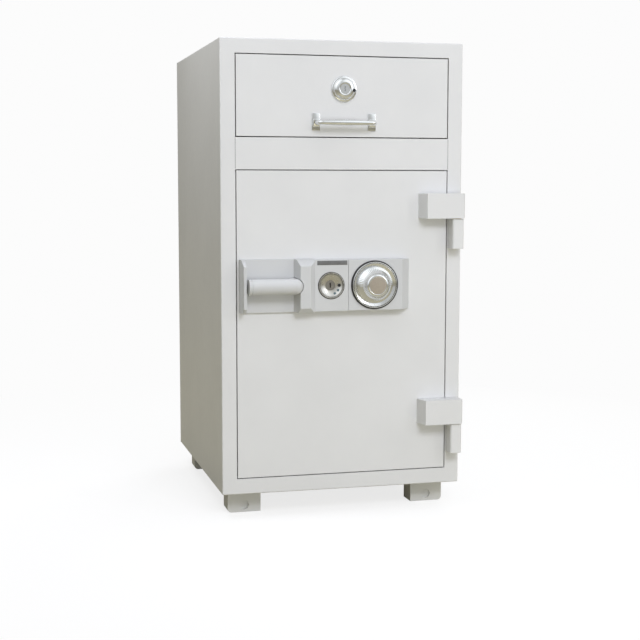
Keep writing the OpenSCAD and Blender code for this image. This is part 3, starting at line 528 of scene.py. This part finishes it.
# A black ring round the bezel: painted shade for the shadow gap between the bezel and the plate.
DIAL_SHADE_RING = [(HOLE_R, 0), (48.5, 0), (48.5, 2.2), (47.6, 3.6), (46.1, 4.2), (46.0, 1.0),
               (HOLE_R, 1.0)]
DIAL_BEZEL = [(HOLE_R, 1), (45.9, 1), (45.9, 4.6), (45.1, 5.6), (44.5, 5.6), (43.9, 4.6),
              (43.9, 1.6), (HOLE_R, 1.6)]
DIAL_SCALE = [(HOLE_R, 2), (43.3, 2), (43.3, 4.8), BAND_OUT, BAND_IN, (36.2, 3.0), (35.9, 5.4),
              (HOLE_R, 5.4)]
DIAL_KNOB = [(0, 5.4), (36.2, 5.4), (35.6, 6.2), (31.6, 8.8), (27.8, 12.4), (24.8, 16.8),
             (22.8, 21.2), (21.8, 23.4), (20.0, 24.6), (18.2, 24.9), (17.4, 24.6), (17.2, 24.3),
             (0, 24.3)]
DIAL_CAP = [(0, 24.2), (17.1, 24.2), (17.1, 24.55), (16.5, 24.75), (0, 24.8)]
KNOB_STEPS = 480  # sides round the knob, eight to a flute
FLUTES = 60
FLUTE_DEPTH = 0.3
FLUTED_FROM, FLUTED_TO = 6.5, 22.5  # heights above the plate


def flute(out, step):
    """How far the knob's flutes draw its radius in, at a height and a step round it."""
    if not PLATE_OUT + FLUTED_FROM < out < PLATE_OUT + FLUTED_TO:
        return 0
    return -FLUTE_DEPTH * (0.5 - 0.5 * math.cos(TURN * step * FLUTES / KNOB_STEPS))


def dial_pieces():
    """The bezel on the plate with a black ring of painted shade round it, the turning scale with
    its marks and the fluted knob.
    """
    add_form("dial_shade_ring", lathe_form(raised(DIAL_SHADE_RING), DIAL), "door", BLACK)
    bezel = fillet(raised(DIAL_BEZEL), 0.6)
    add_form("dial_bezel", lathe_form(bezel, DIAL),
             "door", DIAL_CHROME, ("dial_surround",))
    scale = fillet(raised(DIAL_SCALE), 0.4)
    add_form("dial_scale", lathe_form(scale, DIAL), "dial", DIAL_CHROME, ("dial_ring",))
    add_form("dial_marks", scale_marks(), "dial", MARKS)
    knob = fillet(raised(DIAL_KNOB), 0.9)
    add_form("dial_grip", lathe_form(knob, DIAL, KNOB_STEPS, flute),
             "dial", DIAL_CHROME, ("dial_knob",), sharp_deg=50)
    cap = fillet(raised(DIAL_CAP), 0.3)
    add_form("dial_cap", lathe_form(cap, DIAL), "dial", SATIN)


def scale_marks():
    """A hundred graduations and the tens in plain figures, on the sloping band of the scale."""
    (in_r, in_out), (out_r, out_out) = raised([BAND_IN, BAND_OUT])
    slope = (out_out - in_out) / (out_r - in_r)
    mark_r = 42.5
    mark_sunk, mark_proud = -0.1, 0.06
    figure_r, figure_lift, figure_size = 39.1, 0.02, 2.2
    forms = []

    def on_band(radius):
        """The band's height above the face at a radius."""
        return in_out + slope * (radius - in_r)

    for mark in range(100):
        long = 1.8 if mark % 10 == 0 else 1.3 if mark % 5 == 0 else 0.8
        half = 0.16 if mark % 10 == 0 else 0.1
        form = bmesh.new()
        angle = TURN / 4 - TURN * mark / 100
        along = Vector((math.cos(angle), 0, math.sin(angle)))
        across = Vector((-math.sin(angle), 0, math.cos(angle)))
        corners = []
        for radius in (mark_r - long, mark_r):
            for side in (-half, half):
                for lift in (mark_sunk, mark_proud):
                    depth = on_band(radius) + lift
                    corners.append(form.verts.new(
                        Vector((DIAL.x, FACE_Y - depth * MM, DIAL.z))
                        + along * radius * MM + across * side * MM))
        bmesh.ops.convex_hull(form, input=corners)
        forms.append(form)
    for ten in range(10):
        angle = TURN / 4 - TURN * ten / 10
        depth = on_band(figure_r) + figure_lift
        forms.append(figure(str(ten * 10), angle, figure_r, depth, figure_size, slope))
    return join_forms(forms)


def figure(text, angle, radius, depth, size, slope):
    """Plain figures that stand on a circle about the dial, read from outside its middle."""
    curve = bpy.data.curves.new("figure", "FONT")
    curve.body = text
    curve.size = size * MM
    curve.extrude = 0.06 * MM
    curve.align_x = "CENTER"
    curve.align_y = "CENTER"
    curve.resolution_u = 2
    holder = bpy.data.objects.new("figure", curve)
    bpy.context.scene.collection.objects.link(holder)
    graph = bpy.context.evaluated_depsgraph_get()
    mesh = bpy.data.meshes.new_from_object(holder.evaluated_get(graph))
    bpy.data.objects.remove(holder)
    bpy.data.curves.remove(curve)
    form = bmesh.new()
    form.from_mesh(mesh)
    bpy.data.meshes.remove(mesh)
    right = Vector((math.sin(angle), 0, -math.cos(angle)))
    outward = Vector((math.cos(angle), 0, math.sin(angle)))
    up = (outward - Vector((0, slope, 0))).normalized()
    out_of_face = right.cross(up)
    centre = Vector((DIAL.x, FACE_Y - depth * MM, DIAL.z)) + outward * radius * MM
    for vert in form.verts:
        local = vert.co.copy()
        vert.co = centre + right * local.x + up * local.y + out_of_face * local.z
    return form


# The locks: the back of the key dish and the drawer's ring are given from the face, in mm

KEY_DISH_BACK = [(10.1, 0.2), (24.6, 0.2)]
KEY_DISH = [(24.6, 0.6), (25.4, 0.6), (25.4, 1.6), (24.9, 2.1), (24.4, 1.9), (23.2, -0.9),
            (21.0, -3.0), (17.0, -5.2), (13.2, -6.6), (11.6, -7.2), (10.1, -7.4)]
# The dark ring round the key dish is painted shade along its rim.
KEY_SHADE_RING = [(24.7, 0), (26.95, 0), (26.95, 0.9), (25.5, 1.3), (24.7, 1.3)]
DRAWER_RING = [(10.1, -1.9), (13.9, -1.9), (13.9, 0.1), (25.9, 0.1), (25.9, 2.2), (24.6, 4.0),
               (21.6, 4.6), (20.6, 6.4), (17.5, 9.2), (13.6, 10.6), (11.4, 10.6), (10.1, 9.6)]


def key_lock():
    """The dished ring of the door's key lock with its index dot and marks, and a dark ring of
    painted shade round it.
    """
    dish = fillet(KEY_DISH_BACK + raised(KEY_DISH), 0.9)
    add_form("key_dish", lathe_form(dish, KEY), "door", KEY_CHROME, ("key_cup",))
    rim = fillet(raised(KEY_SHADE_RING), 0.3)
    add_form("key_shade_ring", lathe_form(rim, KEY), "door", RIM_SHADE)
    bottom = PLATE_OUT - 6.5
    index = stud_form(KEY, radius=17.4, angle_deg=0, size=3.1, low=bottom, high=PLATE_OUT - 3.2)
    add_form("key_index", index, "door", INK)
    marks = [stud_form(KEY, radius=18.2, angle_deg=angle, size=2.5, low=bottom,
                       high=PLATE_OUT - 3.5) for angle in (-33, -62)]
    add_form("key_marks", join_forms(marks), "door", TEAL)


def drawer_lock():
    """The domed ring of the drawer's lock with its index dot."""
    ring = fillet(DRAWER_RING, 0.8)
    add_form("drawer_lock_bezel", lathe_form(ring, DRAWER_LOCK),
             "drawer", LOCK_CHROME, ("drawer_lock_ring",))
    dot = stud_form(DRAWER_LOCK, radius=19.0, angle_deg=-8, size=3.2, low=5.5, high=10.9)
    add_form("drawer_lock_index", dot, "drawer", INK)


# Handles and plates

def drawer_handle():
    """The chrome pull: two foot plates with blocks and a bar that swells towards its middle."""
    low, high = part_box("drawer_pull")
    foot = 16 * MM
    foot_out = 2.4 * MM
    block_x, block_z, block_out = 7 * MM, 8 * MM, 8 * MM
    block_slant = 0.14
    bar_r = 6 * MM
    bar_thin = 0.76
    bend = 8 * MM
    bend_steps, run_steps = 8, 24
    half = high.x - foot / 2
    straight = half - bend
    bar_z = PULL.z - 2.5 * MM
    axis_y = low.y + bar_r

    forms = []
    for side in (-1, 1):
        x = side * half
        forms.append(box_form((x - foot / 2, FACE_Y - foot_out, low.z),
                              (x + foot / 2, FACE_Y, high.z), 0.8 * MM))
        block = box_form((x - block_x, FACE_Y - block_out, bar_z - block_z),
                         (x + block_x, FACE_Y - 1 * MM, bar_z + block_z), 2 * MM, 4)
        for vert in block.verts:
            if vert.co.y < FACE_Y - block_out / 2:
                vert.co.y -= (vert.co.z - bar_z) * block_slant
        forms.append(block)

    legs = []
    for side in (-1, 1):
        leg = [Vector((side * half, FACE_Y - 5 * MM, bar_z))]
        for step in range(bend_steps + 1):
            angle = TURN / 4 * step / bend_steps
            leg.append(Vector((side * (straight + bend * math.cos(angle)),
                               axis_y + bend - bend * math.sin(angle), bar_z)))
        legs.append(leg)
    run = [Vector((straight * (step / (run_steps / 2) - 1), axis_y, bar_z))
           for step in range(1, run_steps)]
    points = legs[0] + run + legs[1][::-1]
    radii = [bar_r * (bar_thin + (1 - bar_thin) * max(0.0, 1 - (point.x / straight) ** 2))
             for point in points]
    forms.append(tube_form(points, radii, 28))
    add_form("drawer_handle", join_forms(forms), "drawer", CHROME, ("drawer_pull",))


def lever_grip():
    """The lever with a turned groove near its free end."""
    low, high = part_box("lever_handle")
    radius = (high.z - low.z) / 2
    axis_y, axis_z = low.y + radius, middle("lever_handle").z
    bottom, clear = radius - 0.7 * MM, radius + MM
    near = low.x + 5 * MM
    far = near + 1.2 * MM
    steps = 96
    grip = add_object("lever_grip", frame["nodes"]["lever_handle"].data.copy(),
                      "handle", None, ("lever_handle",))
    groove = bmesh.new()
    rings = []
    for x, r in ((near, bottom), (near, clear), (far, clear), (far, bottom)):
        rings.append([groove.verts.new((x, axis_y + r * math.cos(TURN * step / steps),
                                        axis_z + r * math.sin(TURN * step / steps)))
                      for step in range(steps)])
    join_rings(groove, zip(rings, rings[1:] + rings[:1]), steps)
    cut(grip, [groove])
    soften(grip, 1.0 * MM)


def plate_strip():
    """The bare dark strip along the top of the lock plate."""
    low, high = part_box("lock_plate")
    left, right, top = low.x + 4.5 * MM, high.x - 2.2 * MM, high.z - 1.4 * MM
    bottom = high.z - 10 * MM
    proud, sunk, edge = 0.5 * MM, 0.2 * MM, 0.25 * MM
    strip = box_form((left, PLATE_Y - proud, bottom), (right, PLATE_Y + sunk, top), edge, 2)
    add_form("plate_strip", strip, "door", STRIP)


# The studio

WHITE = 0.973  # what the camera sees as background
FLOOR_HALF = 14  # half of the floor's side, in metres
FLOOR_DROP = 0.4 * MM  # how far the floor lies under the feet
FLOOR_BOUNCE = (0.42, 0.385, 0.26)  # floor as it lights the object
FLOOR_GLOW = 0.08  # added to it where metal mirrors the floor before the object
FLOOR_SHADE = (0.26, 0.26, 0.26)  # the floor near the object as the camera sees it, with shadows
SHADE_LIGHT = WHITE - 0.2  # the floor's own light there, which brings it up to white
SHADE_FROM, SHADE_TO = 0.45, 1.5  # between these radii in metres it fades to plain white
BEHIND = (0.27, 0.255, 0.205)  # what metal and gloss mirror behind the object
BEHIND_FLOOR = [c / 2 for c in BEHIND]  # the floor's own light there, beside its bounce
BEHIND_FROM, BEHIND_TO = 0.1, 0.6  # how far back a mirrored direction points, as a share
AMBIENT_WINDOWS = [(0.16, -0.36, 1)]
AMBIENT = [(0.5, (0.06, 0.058, 0.05)), (1.0, (0.79, 0.80, 0.81))]
ROOM_WINDOWS = [(-0.60, -0.38, 0.70), (0.66, -0.48, 0.56)]
ROOM = [(0.0, (0.16, 0.14, 0.10)), (0.40, (0.41, 0.38, 0.325)), (0.80, (0.52, 0.52, 0.505)),
        (0.86, (0.58, 0.60, 0.60)), (0.925, (1.05, 1.09, 1.10)), (1.0, (1.35, 1.38, 1.4))]
# Name, place, target, size, power in watts, colour, and whether metal mirrors it
LAMPS = [
    ("key_light", (0.2, -2.6, 1.9), (0, -0.1, 0.55), (1.2, 0.7), 30.5, (0.865, 0.885, 1.0), False),
    ("low_light", (0.2, -3.0, 0.3), (0.1, -0.25, 0.2), (0.8, 0.5), 16, (0.95, 0.97, 1.0), False),
    ("side_light", (-0.75, -0.2, 1.5), (-0.25, 0.1, 0.9), (0.5, 0.4), 5, (0.93, 0.945, 1.0), False),
    ("back_light", (1.5, 2.4, 1.6), (0.1, 0.2, 0.5), (1.6, 1.4), 34, (0.98, 0.985, 1.0), False),
    ("glint_light", (2.0, -2.4, 1.4), (0, -0.2, 0.5), (0.5, 0.9), 6.5, (1, 1, 1), True),
]
# The camera, solved from the corners of the body in the photograph
CAMERA_PLACE = (-0.69604, -2.73684, 0.66076)
CAMERA_YAW, CAMERA_PITCH, CAMERA_ROLL = 0.255188, 0.104326, 0.00088
FOCAL_PX = 1298.07
PHOTO_PX = 640
SENSOR_WIDTH = 36


def emission(tree, strength, colour=(1, 1, 1)):
    """A shader that gives off light of its own."""
    node = tree.nodes.new("ShaderNodeEmission")
    node.inputs["Color"].default_value = (*colour, 1)
    node.inputs["Strength"].default_value = strength
    return node.outputs["Emission"]


def background(tree, strength=1.0, colour=(1, 1, 1)):
    """A world shader of one colour."""
    node = tree.nodes.new("ShaderNodeBackground")
    node.inputs["Color"].default_value = (*colour, 1)
    node.inputs["Strength"].default_value = strength
    return node


def add_shaders(tree, first, second):
    """Two shaders on top of each other."""
    node = tree.nodes.new("ShaderNodeAddShader")
    tree.links.new(first, node.inputs[0])
    tree.links.new(second, node.inputs[1])
    return node.outputs["Shader"]


def blend_shaders(tree, share, first, second):
    """The first shader where share is 0 and the second where it is 1."""
    node = tree.nodes.new("ShaderNodeMixShader")
    tree.links.new(share, node.inputs["Fac"])
    tree.links.new(first, node.inputs[1])
    tree.links.new(second, node.inputs[2])
    return node.outputs["Shader"]


def seen_ray(tree, light):
    """1 for a ray from the camera or one that has come through glass."""
    return larger_of(tree, light.outputs["Is Camera Ray"], light.outputs["Is Transmission Ray"])


def behind_object(tree, vector, start, end):
    """From 0 to 1 as a place or a direction lies further back."""
    parts = tree.nodes.new("ShaderNodeSeparateXYZ")
    tree.links.new(vector, parts.inputs["Vector"])
    return spread(tree, parts.outputs["Y"], 0, 1, start, end)


def studio_floor():
    """A pale floor that looks white to the camera, keeps the shadow and lights the object."""
    form = bmesh.new()
    bmesh.ops.create_grid(form, x_segments=1, y_segments=1, size=FLOOR_HALF)
    floor = bpy.data.objects.new("studio_floor", to_mesh("studio_floor", form))
    bpy.context.scene.collection.objects.link(floor)
    floor.location.z = -FLOOR_DROP
    material, tree, shader = new_material("studio_floor", FLOOR_BOUNCE, 0.9)
    shader.inputs["Specular IOR Level"].default_value = 0.0
    lit = shader.outputs["BSDF"]
    light = tree.nodes.new("ShaderNodeLightPath")
    place = tree.nodes.new("ShaderNodeTexCoord")

    shadow = tree.nodes.new("ShaderNodeBsdfDiffuse")
    shadow.inputs["Color"].default_value = (*FLOOR_SHADE, 1)
    near = add_shaders(tree, shadow.outputs["BSDF"], emission(tree, SHADE_LIGHT))
    radius = vector_math(tree, "LENGTH", place.outputs["Object"]).outputs["Value"]
    away = spread(tree, radius, 0, 1, SHADE_FROM, SHADE_TO)
    seen = blend_shaders(tree, away, near, emission(tree, WHITE))

    before = add_shaders(tree, lit, emission(tree, FLOOR_GLOW))
    beyond = add_shaders(tree, lit, emission(tree, 1.0, BEHIND_FLOOR))
    back = behind_object(tree, place.outputs["Object"], 0.0, 1.0)
    mirrored = blend_shaders(tree, back, before, beyond)
    unseen = blend_shaders(tree, light.outputs["Is Glossy Ray"], lit, mirrored)

    both = blend_shaders(tree, seen_ray(tree, light), unseen, seen)
    tree.links.new(both, tree.nodes["Material Output"].inputs["Surface"])
    floor.data.materials.append(material)


def room_light(tree, direction, windows, stops):
    """A background graded by how far a direction points toward the nearest window."""
    value = None
    for window in windows:
        toward = Vector(window).normalized()
        facing = vector_math(tree, "DOT_PRODUCT", direction, toward).outputs["Value"]
        value = facing if value is None else larger_of(tree, value, facing)
    ramp = tree.nodes.new("ShaderNodeValToRGB")
    tree.links.new(spread(tree, value, 0, 1, -1, 1), ramp.inputs["Fac"])
    elements = ramp.color_ramp.elements
    for _ in stops[2:]:
        elements.new(0.5)
    for element, (position, colour) in zip(elements, stops):
        element.position = position
        element.color = (*colour, 1)
    node = background(tree)
    tree.links.new(ramp.outputs["Color"], node.inputs["Color"])
    return node.outputs["Background"]


def studio_world():
    """White to the camera; to metal, a graded room before the object and a warm grey behind it."""
    world = bpy.data.worlds.new("studio")
    bpy.context.scene.world = world
    world.use_nodes = True
    tree = world.node_tree
    tree.nodes.clear()
    light = tree.nodes.new("ShaderNodeLightPath")
    direction = tree.nodes.new("ShaderNodeTexCoord").outputs["Generated"]
    soft = room_light(tree, direction, AMBIENT_WINDOWS, AMBIENT)
    room = room_light(tree, direction, ROOM_WINDOWS, ROOM)
    white = background(tree, WHITE).outputs["Background"]
    warm = background(tree, colour=BEHIND).outputs["Background"]
    back = behind_object(tree, direction, BEHIND_FROM, BEHIND_TO)
    mirrored = blend_shaders(tree, back, room, warm)
    unseen = blend_shaders(tree, light.outputs["Is Glossy Ray"], soft, mirrored)
    both = blend_shaders(tree, seen_ray(tree, light), unseen, white)
    output = tree.nodes.new("ShaderNodeOutputWorld")
    tree.links.new(both, output.inputs["Surface"])


def studio_lamps():
    """Soft area lamps, most of which metal doesn't mirror."""
    for name, place, target, size, power, colour, mirrored in LAMPS:
        data = bpy.data.lights.new(name, "AREA")
        data.shape = "RECTANGLE"
        data.size, data.size_y = size
        data.energy = power
        data.color = colour
        light = bpy.data.objects.new(name, data)
        light.location = place
        aim = Vector(target) - Vector(place)
        light.rotation_euler = aim.to_track_quat("-Z", "Y").to_euler()
        light.visible_glossy = mirrored
        bpy.context.scene.collection.objects.link(light)


def photo_camera():
    """The camera where the photograph was taken from."""
    yaw, pitch, roll = CAMERA_YAW, CAMERA_PITCH, CAMERA_ROLL
    forward = Vector((math.sin(yaw) * math.cos(pitch), math.cos(yaw) * math.cos(pitch),
                      -math.sin(pitch)))
    level = Vector((math.cos(yaw), -math.sin(yaw), 0))
    upright = level.cross(forward)
    right = level * math.cos(roll) + upright * math.sin(roll)
    up = upright * math.cos(roll) - level * math.sin(roll)
    turn = Matrix((right, up, -forward)).transposed().to_4x4()
    data = bpy.data.cameras.new("photo_camera")
    data.sensor_width = SENSOR_WIDTH
    data.lens = FOCAL_PX / PHOTO_PX * SENSOR_WIDTH
    data.clip_start, data.clip_end = 0.05, 60
    camera = bpy.data.objects.new("photo_camera", data)
    camera.matrix_world = Matrix.Translation(CAMERA_PLACE) @ turn
    bpy.context.scene.collection.objects.link(camera)
    bpy.context.scene.camera = camera


dress_nodes()
soften_nodes()
cabinet_skin()
dial_pieces()
key_lock()
drawer_lock()
drawer_handle()
lever_grip()
plate_strip()
studio_floor()
studio_world()
studio_lamps()
photo_camera()
bpy.context.scene.view_settings.view_transform = "Standard"
